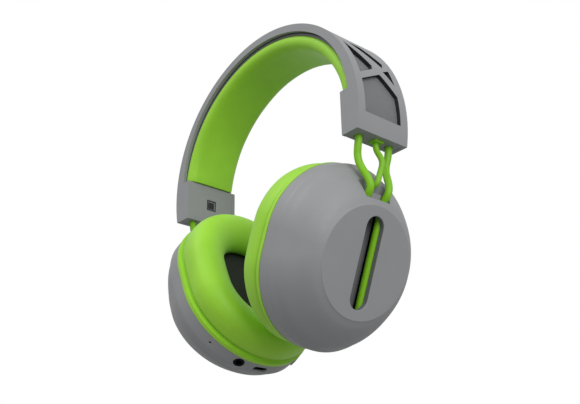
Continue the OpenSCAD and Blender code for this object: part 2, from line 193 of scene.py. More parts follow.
def weave(name, c0, c1, pitch, depth, rough=0.85, axes=("Y", "Z"), spec=0.2):
    """Plain weave: over-and-under threads in the plane of the two axes."""
    m = Mat(name, srgb(c1), rough, spec)
    sep = m.n("SeparateXYZ")
    m.l(m.co, sep.inputs[0])
    k = 2 * math.pi / pitch
    u, v = sep.outputs[axes[0]], sep.outputs[axes[1]]
    su = m.math("SINE", m.math("MULTIPLY", u, k / 2))
    sv = m.math("SINE", m.math("MULTIPLY", v, k / 2))
    prod = m.math("MULTIPLY", su, sv)
    fu = m.math("ABSOLUTE", m.math("SINE", m.math("MULTIPLY", u, k)))
    fv = m.math("ABSOLUTE", m.math("SINE", m.math("MULTIPLY", v, k)))
    over = m.math("GREATER_THAN", prod, 0.0)
    h = m.math("ADD", m.math("MULTIPLY", fu, over), m.math("MULTIPLY", fv, m.math("SUBTRACT", 1.0, over)))
    fuzz = m.math("ADD", m.math("MULTIPLY", h, 0.8), m.math("MULTIPLY", m.noise(900, 3), 0.3))
    m.l(m.ramp(fuzz, [(0.1, srgb(c0)), (0.75, srgb(c1))]), m.b.inputs["Base Color"])
    m.b.inputs["Sheen Weight"].default_value = 0.2
    m.bump(fuzz, depth, 0.8)
    return m.m


def metal(name, color, rough=0.3):
    m = Mat(name, srgb(color), rough, 0.5, Metallic=1.0)
    m.rough(m.noise(700, 4), rough - 0.06, rough + 0.1)
    m.vary(m.noise(120, 2), 0.05)
    m.bump(m.noise(1500, 2), 0.00001, 0.5)
    return m.m


GREY = "#8f9092"
LIME = "#97d232"
M = {
    "shell_grey": moulded("shell_grey", GREY, 0.47, 0.4),
    "mesh_fabric": weave("mesh_fabric", "#4a4b4d", "#7e8082", 0.0011, 0.00012),
    "soft_lime": leatherette("soft_lime", LIME, 0.5),
    "plastic_lime": moulded("plastic_lime", "#7dbd17", 0.42, 0.34, 0.000018, 0.02),
    "cable_lime": moulded("cable_lime", "#7fbd20", 0.5, 0.4, 0.00003, 0.03),
    "cloth_black": weave("cloth_black", "#121214", "#2c2c2f", 0.0009, 0.00010),
    "black_plastic": moulded("black_plastic", "#17181a", 0.42, 0.45),
    "dark_plastic": moulded("dark_plastic", "#2c2d30", 0.5, 0.4),
    "steel": metal("steel", "#b4b7ba", 0.28),
    "board_green": moulded("board_green", "#2f6b45", 0.4, 0.5),
    "battery_wrap": moulded("battery_wrap", "#3a3f4a", 0.3, 0.5, 0.00001),
}
# darker grey: the band liner's own colour, and painted shade on the rod channel's floor and walls
M["liner_grey_and_channel_shade"] = moulded("liner_grey_and_channel_shade", "#737476", 0.55, 0.3)
# near-black painted shadow for the strip beside each rod in the channel
M["rod_groove_painted_shadow"] = moulded("rod_groove_painted_shadow", "#161617", 0.6, 0.25)
# dark grey painted shade for the side walls of the band's windows and of each block plate's recess
M["recess_wall_shade"] = moulded("recess_wall_shade", "#2e2f31", 0.6, 0.25)
M["socket_black"] = moulded("socket_black", "#070708", 0.6, 0.15)
M["gunmetal"] = metal("gunmetal", "#3a3b3e", 0.45)


def paint(obj, mat):
    obj.data.materials.clear()
    obj.data.materials.append(mat)


# ---------------------------------------------------------------- mesh helpers
def mesh_obj(name, verts, faces, mat=None, body=None, slot=None, smooth=True, angle=None):
    me = bpy.data.meshes.new(name)
    me.from_pydata([tuple(v) for v in verts], [], [tuple(f) for f in faces])
    me.validate()
    ob = bpy.data.objects.new(name, me)
    SC.collection.objects.link(ob)
    bm = bmesh.new()
    bm.from_mesh(me)
    bmesh.ops.recalc_face_normals(bm, faces=bm.faces)
    bm.to_mesh(me)
    bm.free()
    if smooth:
        me.shade_smooth()
    if angle is not None:
        me.set_sharp_from_angle(angle=math.radians(angle))
    if mat:
        paint(ob, mat)
    if body:
        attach(ob, body)
    return ob


def apply_all(ob):
    """Bakes the object's modifiers into its mesh."""
    dg = bpy.context.evaluated_depsgraph_get()
    dg.update()
    me = bpy.data.meshes.new_from_object(ob.evaluated_get(dg))
    me.name = ob.name
    ob.modifiers.clear()
    ob.data = me
    return ob


def grid_faces(n, m, close_m=True, close_n=False):
    """Quads of n rings of m points."""
    out = []
    for i in range(n if close_n else n - 1):
        for j in range(m if close_m else m - 1):
            a, b = i, (i + 1) % n
            c, d = j, (j + 1) % m
            out.append((a * m + c, a * m + d, b * m + d, b * m + c))
    return out


def spline(pts, n):
    """Catmull-Rom through pts, resampled to n points of equal spacing."""
    p = np.array(pts, float)
    ext = np.vstack([2 * p[0] - p[1], p, 2 * p[-1] - p[-2]])
    out = []
    for i in range(1, len(ext) - 2):
        for t in np.linspace(0, 1, 24, endpoint=False):
            a, b, c, d = ext[i - 1:i + 3]
            out.append(0.5 * ((2 * b) + (c - a) * t + (2 * a - 5 * b + 4 * c - d) * t * t + (3 * b - a - 3 * c + d) * t ** 3))
    out.append(p[-1])
    out = np.array(out)
    s = np.r_[0, np.cumsum(np.linalg.norm(np.diff(out, axis=0), axis=1))]
    q = np.linspace(0, s[-1], n)
    return np.c_[[np.interp(q, s, out[:, k]) for k in range(3)]].T


def sweep(path, radius, sides=24, cap=True, ref=(0, 1, 0.13), ry=None):
    """Tube along path with round caps; radius may be one number or one per point."""
    p = np.array(path, float)
    n = len(p)
    r = np.full(n, radius, float) if np.isscalar(radius) else np.array(radius, float)
    t = np.gradient(p, axis=0)
    t /= np.linalg.norm(t, axis=1)[:, None]
    u = np.cross(t[0], ref)
    u /= np.linalg.norm(u)
    verts = []
    for i in range(n):
        u = u - t[i] * (u @ t[i])
        u /= np.linalg.norm(u)
        v = np.cross(t[i], u)
        for j in range(sides):
            a = 2 * math.pi * j / sides
            verts.append(p[i] + r[i] * (math.cos(a) * u + math.sin(a) * v))
    faces = grid_faces(n, sides)
    if cap:
        verts += [p[0], p[-1]]
        k = n * sides
        faces += [(k, (j + 1) % sides, j) for j in range(sides)]
        o = (n - 1) * sides
        faces += [(k + 1, o + j, o + (j + 1) % sides) for j in range(sides)]
    return verts, faces


def join_parts(parts):
    verts, faces = [], []
    for v, f in parts:
        o = len(verts)
        verts += [tuple(x) for x in v]
        faces += [tuple(i + o for i in q) for q in f]
    return verts, faces


# ---------------------------------------------------------------- the object's lines, in millimetres
CROWN = 140.0
BLOCK_Z, BLOCK_X = 47.4, 68.5
LEAN = math.radians(22.8)
CUP_X, FACE_Z = 63.8, CROWN - 155.3
R1, R2, ARCH_A = 86.0, 75.0, math.radians(35)
LEG_DX = (R1 - R2) * math.sin(ARCH_A)
TOP_Z = CROWN - R1
LEG_Z = TOP_Z + (R1 - R2) * math.cos(ARCH_A)
RIM_R, RIM_O, CUP_D, WALL = 42.5, 6.0, 29.4, 2.0
DROP = {1: 0.0, -1: 2.4}


def in_cup(w, u, v, s=1, d=0.0):
    v = v - d
    return (CUP_X + w * math.cos(LEAN) + v * math.sin(LEAN), u, FACE_Z - w * math.sin(LEAN) + v * math.cos(LEAN))


def arch_pt(o, a):
    """Point on the arch at depth o under the skin and angle a from the top; a < 0 is the wearer's left."""
    if abs(a) < ARCH_A:
        return ((R1 - o) * math.sin(a), TOP_Z + (R1 - o) * math.cos(a))
    return (math.copysign(LEG_DX, a) + (R2 - o) * math.sin(a), LEG_Z + (R2 - o) * math.cos(a))


# ---------------------------------------------------------------- cup shells
def pchip(xs, ys, q):
    """Monotone cubic through (xs, ys), xs rising, at the points q."""
    xs, ys, q = (np.array(v, float) for v in (xs, ys, q))
    h = np.diff(xs)
    d = np.diff(ys) / h
    m = np.zeros(len(xs))
    m[0], m[-1] = d[0], d[-1]
    for i in range(1, len(xs) - 1):
        if d[i - 1] * d[i] > 0:
            w1, w2 = 2 * h[i] + h[i - 1], h[i] + 2 * h[i - 1]
            m[i] = (w1 + w2) / (w1 / d[i - 1] + w2 / d[i])
    k = np.clip(np.searchsorted(xs, q) - 1, 0, len(h) - 1)
    t = (q - xs[k]) / h[k]
    return ((1 + 2 * t) * (1 - t) ** 2 * ys[k] + t * (1 - t) ** 2 * h[k] * m[k]
            + t * t * (3 - 2 * t) * ys[k + 1] + t * t * (t - 1) * h[k] * m[k + 1])


DOME_W = [-21.5, -18.5, -15, -8, -2.6, -0.35]
DOME_R = [RIM_R, RIM_R - 1.25, RIM_R - 2.5, RIM_R - 6.4, 32.2, 29.05]
DOME_O = [RIM_O, RIM_O - 0.5, RIM_O - 1, RIM_O - 2.8, 1.0, 0.08]


def dome_rings(t=0.0):
    """(depth, radius, extra half height) of each ring from the open edge to the face, t inwards."""
    out = [(-CUP_D, RIM_R - 0.35, RIM_O), (-CUP_D + 0.12, RIM_R - 0.1, RIM_O), (-CUP_D + 0.4, RIM_R, RIM_O)]
    out += [(w, RIM_R, RIM_O) for w in np.linspace(-28, -22.3, 5)]
    ws = np.r_[np.linspace(-21.5, -2.6, 34), np.linspace(-2.2, -0.35, 7)]
    rs, os_ = pchip(DOME_W, DOME_R, ws), pchip(DOME_W, DOME_O, ws)
    rs[0] -= 0.06
    out += list(zip(ws, rs, os_))
    # rolled edge of the flat face
    for k in np.linspace(0.25, 1, 6):
        a = k * math.radians(76)
        out.append((-0.35 + 0.35 * math.sin(a) / math.sin(math.radians(76)), 29.05 - 0.5 * (1 - math.cos(a)) / (1 - math.cos(math.radians(76))), 0.08 * (1 - k)))
    if t:
        return [(w - t, r - 0.9 * t, o) for w, r, o in out if w < -0.4]
    return out


def dome_mesh(name, t=0.0, n=180):
    verts = []
    rings = dome_rings(t)
    for w, r, o in rings:
        for j in range(n):
            a = 2 * math.pi * (j + 0.5) / n
            s = math.sin(a)
            verts.append((w, r * math.cos(a), r * s + o * math.copysign(1, s)))
    faces = grid_faces(len(rings), n)
    faces.append(tuple(range(n)))
    k = (len(rings) - 1) * n
    faces.append(tuple(k + j for j in range(n)))
    return mesh_obj(name, verts, faces, smooth=False)


def prism(name, outline, levels):
    """Closed prism along the cup's X; levels are (depth, how far the outline is pushed out)."""
    p = np.array(outline, float)
    n = len(p)
    nx, pv = np.roll(p, -1, 0) - p, p - np.roll(p, 1, 0)
    t = nx / np.linalg.norm(nx, axis=1)[:, None] + pv / np.linalg.norm(pv, axis=1)[:, None]
    t /= np.linalg.norm(t, axis=1)[:, None]
    area = 0.5 * np.sum(p[:, 0] * np.roll(p[:, 1], -1) - np.roll(p[:, 0], -1) * p[:, 1])
    out = np.c_[t[:, 1], -t[:, 0]] * (1 if area > 0 else -1)
    verts = [(x, *(p[j] + out[j] * e)) for x, e in levels for j in range(n)]
    faces = grid_faces(len(levels), n) + [tuple(range(n)), tuple((len(levels) - 1) * n + j for j in range(n))]
    return mesh_obj(name, verts, faces, smooth=False)


def rounded(poly, r, steps=5):
    """Polygon outline with its corners rounded to radius r (r may be a list, one per corner)."""
    p = np.array(poly, float)
    n = len(p)
    out = []
    for i in range(n):
        a, b, c = p[i - 1], p[i], p[(i + 1) % n]
        ri = r[i] if isinstance(r, (list, tuple)) else r
        u, v = (a - b) / np.linalg.norm(a - b), (c - b) / np.linalg.norm(c - b)
        ang = math.acos(np.clip(u @ v, -1, 1))
        if ri <= 0 or ang > math.radians(176):
            out.append(b)
            continue
        d = min(ri / math.tan(ang / 2), 0.45 * np.linalg.norm(a - b), 0.45 * np.linalg.norm(c - b))
        rr = d * math.tan(ang / 2)
        cen = b + (u + v) / np.linalg.norm(u + v) * rr / math.sin(ang / 2)
        s, e = b + u * d - cen, b + v * d - cen
        a0, a1 = math.atan2(s[1], s[0]), math.atan2(e[1], e[0])
        da = (a1 - a0 + math.pi) % (2 * math.pi) - math.pi
        for k in range(steps + 1):
            th = a0 + da * k / steps
            out.append(cen + rr * np.array([math.cos(th), math.sin(th)]))
    return out


def channel(e):
    return [(-8.2 - e, -32.3 - e), (8.2 + e, -32.3 - e), (8.2 + e, 31.8), (13 + e, 50), (-13 - e, 50), (-8.2 - e, 31.8)]


def densify(p, step):
    """Adds points along each side so that no side is longer than step."""
    out = []
    p = [np.array(q, float) for q in p]
    for i, a in enumerate(p):
        b = p[(i + 1) % len(p)]
        k = max(1, int(math.ceil(np.linalg.norm(b - a) / step)))
        out += [a + (b - a) * t / k for t in range(k)]
    return out


def stadium(w, l, n=28):
    r, h = w / 2, (l - w) / 2
    return [(r * math.cos(a), h + r * math.sin(a)) for a in np.linspace(0, math.pi, n)] + \
           [(-r * math.cos(a), -h - r * math.sin(a)) for a in np.linspace(0, math.pi, n)]


def boolean(ob, other, op="DIFFERENCE"):
    m = ob.modifiers.new("b", "BOOLEAN")
    m.operation = op
    m.solver = "EXACT"
    m.object = other
    apply_all(ob)
    bpy.data.objects.remove(other)
    return ob


def post_cyl(name, r, x0, h, y, z, n=32):
    verts = [(x, y + r * math.cos(2 * math.pi * (j + .5) / n), z + r * math.sin(2 * math.pi * (j + .5) / n)) for x in (x0, x0 + h) for j in range(n)]
    return mesh_obj(name, verts, grid_faces(2, n) + [tuple(range(n)), tuple(n + j for j in range(n))], smooth=False)


def rim_frame(a, depth):
    """Matrix from radial axes on the rim band (Z out of the cup's middle) to cup axes."""
    return Matrix.Translation((depth, 0, -RIM_O)) @ Matrix.Rotation(math.radians(a), 4, "X") @ Matrix.Translation((0, 0, -RIM_R))


def rim_cut(name, a, outline, levels, depth=-25.2):
    """Prism standing on the rim band: outline in (depth, round) and levels are (height towards the middle, grow)."""
    ob = prism(name, outline, levels)
    # prism runs along X with outline in YZ: turn X to Z
    sw = Matrix(((0, 1, 0, 0), (0, 0, 1, 0), (1, 0, 0, 0), (0, 0, 0, 1)))
    ob.data.transform(rim_frame(a, depth) @ sw)
    return ob


def scoop():
    """Open mouth above the lip: as wide as the rods at the lip, its sides leaning out more and more towards the rim."""
    levels = [-9.8, -9.3, -8.5, -7.0, -5.0, -3.0, -1.0, 2.0, 9.0]
    verts = []
    for w in levels:
        h = max(0.0, w + 9.8)
        tan = 0.10 + 0.085 * h
        lip = 31.8 + (0.9 - 0.9 * min(1, h / 1.2)) * 0
        half = []
        for v in np.linspace(lip, 62, 22):
            k = (v - lip)
            half.append((8.2 + tan * k * (k / (k + 3.0)), v))
        ring = [(-y, v) for y, v in half[::-1]] + half[0:]
        # half[::-1] runs from the top down on the left, then half runs up on the right
        verts += [(w, y, v) for y, v in ring]
    n = 44
    faces = grid_faces(len(levels), n) + [tuple(range(n)), tuple((len(levels) - 1) * n + j for j in range(n))]
    return mesh_obj("scoop", verts, faces, smooth=False)


PORT_LEVELS = [(-3, 0.7), (-0.3, 0.55), (-0.02, 0.42), (0.12, 0.2), (0.35, 0.02), (0.7, 0), (5.8, 0)]


def make_shell(s):
    ob = dome_mesh("cup_shell_" + ("r" if s > 0 else "l") + "_skin")
    inner = dome_mesh("inner", WALL, 96)
    boolean(inner, prism("tray", rounded(densify(channel(1.5), 4), 0), [(-11.2, 0), (5, 0)]))
    for k in (-1, 1):
        for m in (-1, 1):
            boolean(inner, post_cyl("post", 2.6, -27.3, 30, k * 33, m * 18))
    boolean(ob, inner)
    boolean(ob, prism("chan", channel(0), [(-9.8, 0), (-2.8, 0)]))
    # mouth above the lip
    boolean(ob, scoop())
    boolean(ob, prism("slot", stadium(11.5, 47), [(-6, 0), (-0.55, 0), (-0.3, 0.07), (-0.12, 0.2), (-0.03, 0.36), (0.02, 0.46), (3, 0.8)]))
    # a groove under each rod
    for k in (-1, 1):
        boolean(ob, prism("groove", rounded([(k * 7 - 0.85, -31), (k * 7 + 0.85, -31), (k * 7 + 0.85, 25), (k * 7 - 0.85, 25)], 0.8, 4), [(-10.8, -0.2), (-9.7, 0), (-9.5, 0)]))
    boolean(ob, post_cyl("wire", 1.9, -12.5, 4.5, -1.5, 37.4))
    for k in (-1, 1):
        for m in (-1, 1):
            boolean(ob, post_cyl("hole", 1.0, -27.4, 8.5, k * 33, m * 18, 20))
    if s < 0:
        usb = rounded([(-1.7, -4.6), (1.7, -4.6), (1.7, 4.6), (-1.7, 4.6)], 1.5, 6)
        boolean(ob, rim_cut("usb", 0, usb, PORT_LEVELS))
        circ = lambda r: [(r * math.cos(a), r * math.sin(a)) for a in np.linspace(0, 2 * math.pi, 33)[:-1]]
        boolean(ob, rim_cut("jack", -18.9, circ(3.1), PORT_LEVELS))
        boolean(ob, rim_cut("mic", -44.9, circ(0.7), [(-3, 0.4), (0, 0.22), (0.25, 0), (5.8, 0)]))
        for a in (42, 58, 74):
            btn = rounded([(-2.3, -3.7), (2.3, -3.7), (2.3, 3.7), (-2.3, 3.7)], 1.0, 5)
            boolean(ob, rim_cut("btn", a, btn, [(-3, 0.5), (-0.02, 0.3), (0.2, 0.08), (0.4, 0), (5.8, 0)]))
    return ob


def to_world(ob, s):
    """Cup axes in millimetres to the row frame in metres; the left cup is mirrored."""
    me = ob.data
    co = np.zeros(len(me.vertices) * 3)
    me.vertices.foreach_get("co", co)
    co = co.reshape(-1, 3)
    w, u, v = co[:, 0].copy(), co[:, 1].copy(), co[:, 2].copy() - DROP[s]
    co[:, 0] = s * (CUP_X + w * math.cos(LEAN) + v * math.sin(LEAN))
    co[:, 1] = u
    co[:, 2] = FACE_Z - w * math.sin(LEAN) + v * math.cos(LEAN)
    me.vertices.foreach_set("co", (co * MM).ravel())
    if s < 0:
        me.flip_normals()
    me.update()
    return ob


def finish_hard(ob, mat, body, node=None, angle=32, weld=0.000004):
    me = ob.data
    bm = bmesh.new()
    bm.from_mesh(me)
    bmesh.ops.remove_doubles(bm, verts=bm.verts, dist=weld)
    bmesh.ops.dissolve_degenerate(bm, edges=bm.edges, dist=weld)
    bm.to_mesh(me)
    bm.free()
    me.shade_smooth()
    me.set_sharp_from_angle(angle=math.radians(angle))
    wn = ob.modifiers.new("wn", "WEIGHTED_NORMAL")
    wn.keep_sharp = True
    wn.weight = 60
    apply_all(ob)
    if mat:
        paint(ob, M[mat])
    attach(ob, body)
    if node:
        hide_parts(node)
    return ob


SIDES = ((1, "r"), (-1, "l"))
def paint_channel_shade(ob):
    """The floor and walls of the rod channel under the roof are painted a darker grey as painted shade, and a
    near-black strip beside each rod in its groove is painted shadow. Cup axes.
    """
    ob.data.materials.clear()
    ob.data.materials.append(M["shell_grey"])
    ob.data.materials.append(M["liner_grey_and_channel_shade"])
    ob.data.materials.append(M["rod_groove_painted_shadow"])
    for p in ob.data.polygons:
        x, y, z = p.center
        # index 1 is painted shade: the channel floor and the slot's walls take a darker grey
        if -11.3 < x < -2.75 and abs(y) < 8.3 and -32.4 < z < 31.0:
            # index 2 is painted shadow: a near-black strip on the groove floor next to each rod
            p.material_index = 2 if x < -9.82 and x > -11 and 5.9 < abs(y) < 8.0 and -31.2 < z < 25.2 else 1
        elif -2.85 < x < -0.32 and abs(y) < 5.95 and abs(z) < 24:
            p.material_index = 1


for s, t in SIDES:
    ob = make_shell(s)
    paint_channel_shade(ob)
    finish_hard(to_world(ob, s), None, "cup_" + t, "cup_shell_" + t)


# ---------------------------------------------------------------- rods and cables
def bez(p, n):
    a, b, c, d = (np.array(q, float) for q in p)
    t = np.linspace(0, 1, n)[:, None]
    return (1 - t) ** 3 * a + 3 * (1 - t) ** 2 * t * b + 3 * (1 - t) * t * t * c + t ** 3 * d


ROD_TOP_Y, ROD_Y, ROD_DEPTH, ROD_R, CABLE_R = 10.8, 5.9, 5.1, 1.95, 1.55


def rod_path():
    t = ROD_TOP_Y
    pts = [(73.1, t, 50.9), (73.1, t, 46.8), (72.2, t, 42), (71.2, t - 0.5, 38), (71.3, t - 1.2, 34), (72.6, t - 2, 30), (74.3, t - 3.1, 26),
           in_cup(-3.8, 6.65, 38.6), in_cup(-3.4, 6.15, 35.6), in_cup(-4.4, 5.97, 33.5), in_cup(-ROD_DEPTH, ROD_Y, 31.6),
           in_cup(-ROD_DEPTH, ROD_Y, 28)]
    top = spline(pts, 110)
    low = np.linspace(top[-1], in_cup(-ROD_DEPTH, ROD_Y, -26.6), 40)[1:]
    p = np.vstack([top, low])
    for _ in range(10):  # ease the bends
        p[1:-1] = p[1:-1] * 0.5 + (p[:-2] + p[2:]) * 0.25
    return p


def make_yoke(s):
    x0, x1, y1, z0, z1 = 71.2, 76.1, 13.2, 49.4, 57.4
    v = [(x, y, z) for x in (x0, x1) for y in (-y1, y1) for z in (z0, z1)]
    f = [(0, 1, 3, 2), (4, 6, 7, 5), (0, 4, 5, 1), (2, 3, 7, 6), (0, 2, 6, 4), (1, 5, 7, 3)]
    ob = mesh_obj("rod_pair_" + ("r" if s > 0 else "l"), v, f, smooth=False)
    bv = ob.modifiers.new("b", "BEVEL")
    bv.width, bv.segments = 0.5, 3
    apply_all(ob)
    p = rod_path()
    r = np.full(len(p), ROD_R)
    r[-1], r[-2] = 1.5, 1.85
    for k in (1, -1):
        q = p.copy()
        q[:, 1] *= k
        boolean(ob, mesh_obj("rod", *sweep(q, r, 28), smooth=False), "UNION")
        cy = post_cyl("c", 1.3, 70, 8, k * 6, 53.4, 24)
        boolean(ob, cy)
        boolean(ob, post_cyl("c", 2.35, 70, 2.8, k * 6, 53.4, 32))
    return ob


def mirror_to_world(ob, s):
    me = ob.data
    me.transform(Matrix.Diagonal((s * MM, MM, MM, 1)))
    if s < 0:
        me.flip_normals()
    return ob


def cable_points(s):
    d = DROP[s]
    a = np.array([73.4, 1, BLOCK_Z])
    return [a + [0, 0, 1.7], a + [-0.05, 0, -1.2], (73, 1.1, 44), (74.4, 1.5, 40.6), (76, 2, 37.7), (76.3, 2.1, 34.4), (75.3, 1.6, 31.2),
            (74.7, 0.6, 28 - 0.1 * d), in_cup(-4.9, -0.6, 40.6 - 0.4 * d), in_cup(-6.4, -1.1, 38.5 - 0.9 * d),
            in_cup(-9, -1.4, 37.7 - d), in_cup(-12.5, -1.5, 37.4 - d), in_cup(-16, -1.5, 37.2 - d)]


for s, t in SIDES:
    ob = mirror_to_world(make_yoke(s), s)
    finish_hard(ob, "plastic_lime", "band", "yoke_" + t, 40)
    path = spline(cable_points(s), 110)
    for _ in range(70):  # a cable eases its own bends
        path[1:-1] = path[1:-1] * 0.5 + (path[:-2] + path[2:]) * 0.25
    v, f = sweep(path, CABLE_R, 20)
    ob = mesh_obj("cable_run_" + t, v, f)
    mirror_to_world(ob, s)
    paint(ob, M["cable_lime"])
    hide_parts("cable_" + t)
    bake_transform(ob)


# ---------------------------------------------------------------- soft pieces
def ring_sweep(name, section, n=200, wob=None):
    """Closed section (radius, depth) swept round the cup's oval, in cup axes."""
    sec = np.array(section, float)
    m = len(sec)
    verts = []
    for i in range(n):
        a = 2 * math.pi * (i + 0.5) / n
        c, sn = math.cos(a), math.sin(a)
        off = RIM_O * math.copysign(min(1.0, abs(sn) * 6), sn)
        for j, (r, d) in enumerate(sec):
            rr, dd = r, d
            if wob is not None:
                dr, dw = wob(a, j / m, r, d)
                rr, dd = r + dr, d + dw
            verts.append((-dd, rr * c, rr * sn + off))
    return mesh_obj(name, verts, grid_faces(n, m, True, True))


def closed_spline(pts, n):
    p = np.array(pts, float)
    k = len(p)
    out = []
    for i in range(k):
        a, b, c, d = p[i - 1], p[i], p[(i + 1) % k], p[(i + 2) % k]
        for t in np.linspace(0, 1, 16, endpoint=False):
            out.append(0.5 * (2 * b + (c - a) * t + (2 * a - 5 * b + 4 * c - d) * t * t + (3 * b - a - 3 * c + d) * t ** 3))
    out = np.array(out + [out[0]])
    s = np.r_[0, np.cumsum(np.linalg.norm(np.diff(out, axis=0), axis=1))]
    q = np.linspace(0, s[-1], n + 1)[:-1]
    return np.c_[[np.interp(q, s, out[:, j]) for j in range(out.shape[1])]].T


# section of an ear cushion as (distance from the oval's middle line, depth from the face)
CUSHION = [(26, 33.06), (34, 33.06), (40.1, 33.1), (41.5, 34.2), (41.95, 37.2), (42.0, 40.6), (41.2, 44.2), (39.0, 47.2), (35.6, 49.2),
           (31.4, 49.72), (27.2, 48.8), (23.4, 46.4), (20.6, 42.8), (19.4, 39.2), (19.6, 36.0), (21.4, 33.7)]


def wobble(a, f, r, d):
    """Faint unevenness of the foam under its cover, nothing where it is bonded down."""
    k = max(0.0, min(1.0, (d - 34.5) / 6.0))
    x = 0.10 * math.sin(3 * a + 0.7) + 0.07 * math.sin(7 * a + 2.1) + 0.04 * math.sin(13 * a + 0.4 + 2 * f)
    return (0.35 * x * k * (1 if r > 30 else -1) - 0.05 * k, 0.8 * x * k - 0.16 * k)


def make_cushion(s, t):
    ob = ring_sweep("cushion_cover_" + t, closed_spline(CUSHION, 64), 200, wobble)
    to_world(ob, s)
    bm = bmesh.new()
    bm.from_mesh(ob.data)
    bmesh.ops.recalc_face_normals(bm, faces=bm.faces)
    bm.to_mesh(ob.data)
    bm.free()
    paint(ob, M["soft_lime"])
    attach(ob, "cup_" + t)
    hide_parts("ear_cushion_" + t)
    return ob


for s, t in SIDES:
    make_cushion(s, t)


def make_band_pad():
    o0, th, hw = 6.34, 7.4, 16.6
    end = math.pi / 2 - math.asin((BLOCK_Z + 25.1 + 0.1 - LEG_Z) / (R2 - o0 - th))
    # half section: (height above the tray, half width), crowned and pulled in at the tray
    half = [(0, 15.2), (0.9, 16.1), (2.4, 16.55), (4.0, 16.4), (5.6, 15.5), (6.7, 13.8), (7.15, 11.4), (7.3, 8.0), (7.38, 4.0), (7.4, 0)]
    sec = half + [(h, -y) for h, y in half[-2::-1]]
    sec = spline([(a, b, 0) for a, b in sec], 52)[:, :2]
    back = [(0, y) for y in np.linspace(-13.5, 13.5, 14)]
    sec = np.vstack([sec, back])
    m, n = len(sec), 150
    # tuck the two ends
    verts, ks = [], list(np.linspace(-end, end, n))
    for i, a in enumerate(ks):
        e = min(i, n - 1 - i)
        tuck = [0.95, 0.985, 0.997, 1.0][e] if e < 4 else 1.0
        side_tuck = [0.985, 0.996, 1.0, 1.0][e] if e < 4 else 1.0
        soft = 1 + 0.008 * math.sin(9 * a + 0.6) + 0.006 * math.sin(17 * a + 1.9)
        for h, y in sec:
            hh = h * tuck * (soft if h > 3 else 1) - (0.12 if h > 3 else 0)
            x, z = arch_pt(o0 + max(hh, 0), a)
            verts.append((x * MM, y * side_tuck * MM, z * MM))
    faces = grid_faces(n, m) + [tuple(range(m)), tuple((n - 1) * m + j for j in range(m))]
    ob = mesh_obj("band_padding", verts, faces, M["soft_lime"], "band", "soft_lime", angle=60)
    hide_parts("band_pad")
    return ob


make_band_pad()


def make_cloth(s, t):
    """Woven disc over the ear opening, slightly domed over the driver."""
    n, rings = 120, 14
    th = 0.28
    verts, faces = [], []
    for side in (0, 1):
        base = len(verts)
        verts.append((0, 0, 0))
        for i in range(1, rings + 1):
            k = i / rings
            for j in range(n):
                a = 2 * math.pi * (j + 0.5) / n
                sn = math.sin(a)
                verts.append((0, 29.5 * k * math.cos(a), 29.5 * k * sn + RIM_O * k * math.copysign(min(1, abs(sn) * 8), sn)))
        faces += [(base, base + 1 + j, base + 1 + (j + 1) % n) for j in range(n)]
        faces += [tuple(base + 1 + q for q in f) for f in grid_faces(rings, n)]
        for q in range(base, len(verts)):
            _, y, z = verts[q]
            rad = min(1.0, math.hypot(y, z * 0.83) / 29.5)
            dome = 0.45 * (1 - rad * rad) ** 2
            verts[q] = (-(CUP_D + 2.75 + dome + (th if side else 0)), y, z)
    k = 1 + rings * n
    o = 1 + (rings - 1) * n
    faces += [(o + j, o + (j + 1) % n, k + o + (j + 1) % n, k + o + j) for j in range(n)]
    ob = mesh_obj("speaker_fabric_" + t, verts, faces)
    to_world(ob, s)
    bm = bmesh.new()
    bm.from_mesh(ob.data)
    bmesh.ops.recalc_face_normals(bm, faces=bm.faces)
    bm.to_mesh(ob.data)
    bm.free()
    paint(ob, M["cloth_black"])
    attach(ob, "cup_" + t)
    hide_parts("speaker_cloth_" + t)
    return ob


for s, t in SIDES:
    make_cloth(s, t)


# ---------------------------------------------------------------- hard pieces with their edges eased
WINDOWS = [
    [(-13, -82.4), (-13, -62.6), (3, -53.4), (12.6, -65), (12.6, -82.4)],
    [(-13, -33.5), (-13, -58.2), (-1.5, -51.3), (-0.5, -48.3)],
    [(-7, -31), (1, -31), (11, -42), (8.6, -46)],
    [(7.4, -49.4), (13, -46.4), (13, -57.2)]]


def on_window_wall(c, n):
    """True for a face of the skin that lies on the side wall of a truss window."""
    if abs(n.x) > 0.25 or abs(c.x) < 0.03:
        return False
    y, z = c.y / MM, c.z / MM - CROWN
    for w in WINDOWS:
        for i, a in enumerate(w):
            b = w[(i + 1) % len(w)]
            d = Vector((b[0] - a[0], b[1] - a[1]))
            t = ((y - a[0]) * d.x + (z - a[1]) * d.y) / d.length_squared
            if -0.02 <= t <= 1.02 and abs((y - a[0]) * d.y - (z - a[1]) * d.x) / d.length < 0.12:
                return True
    return False


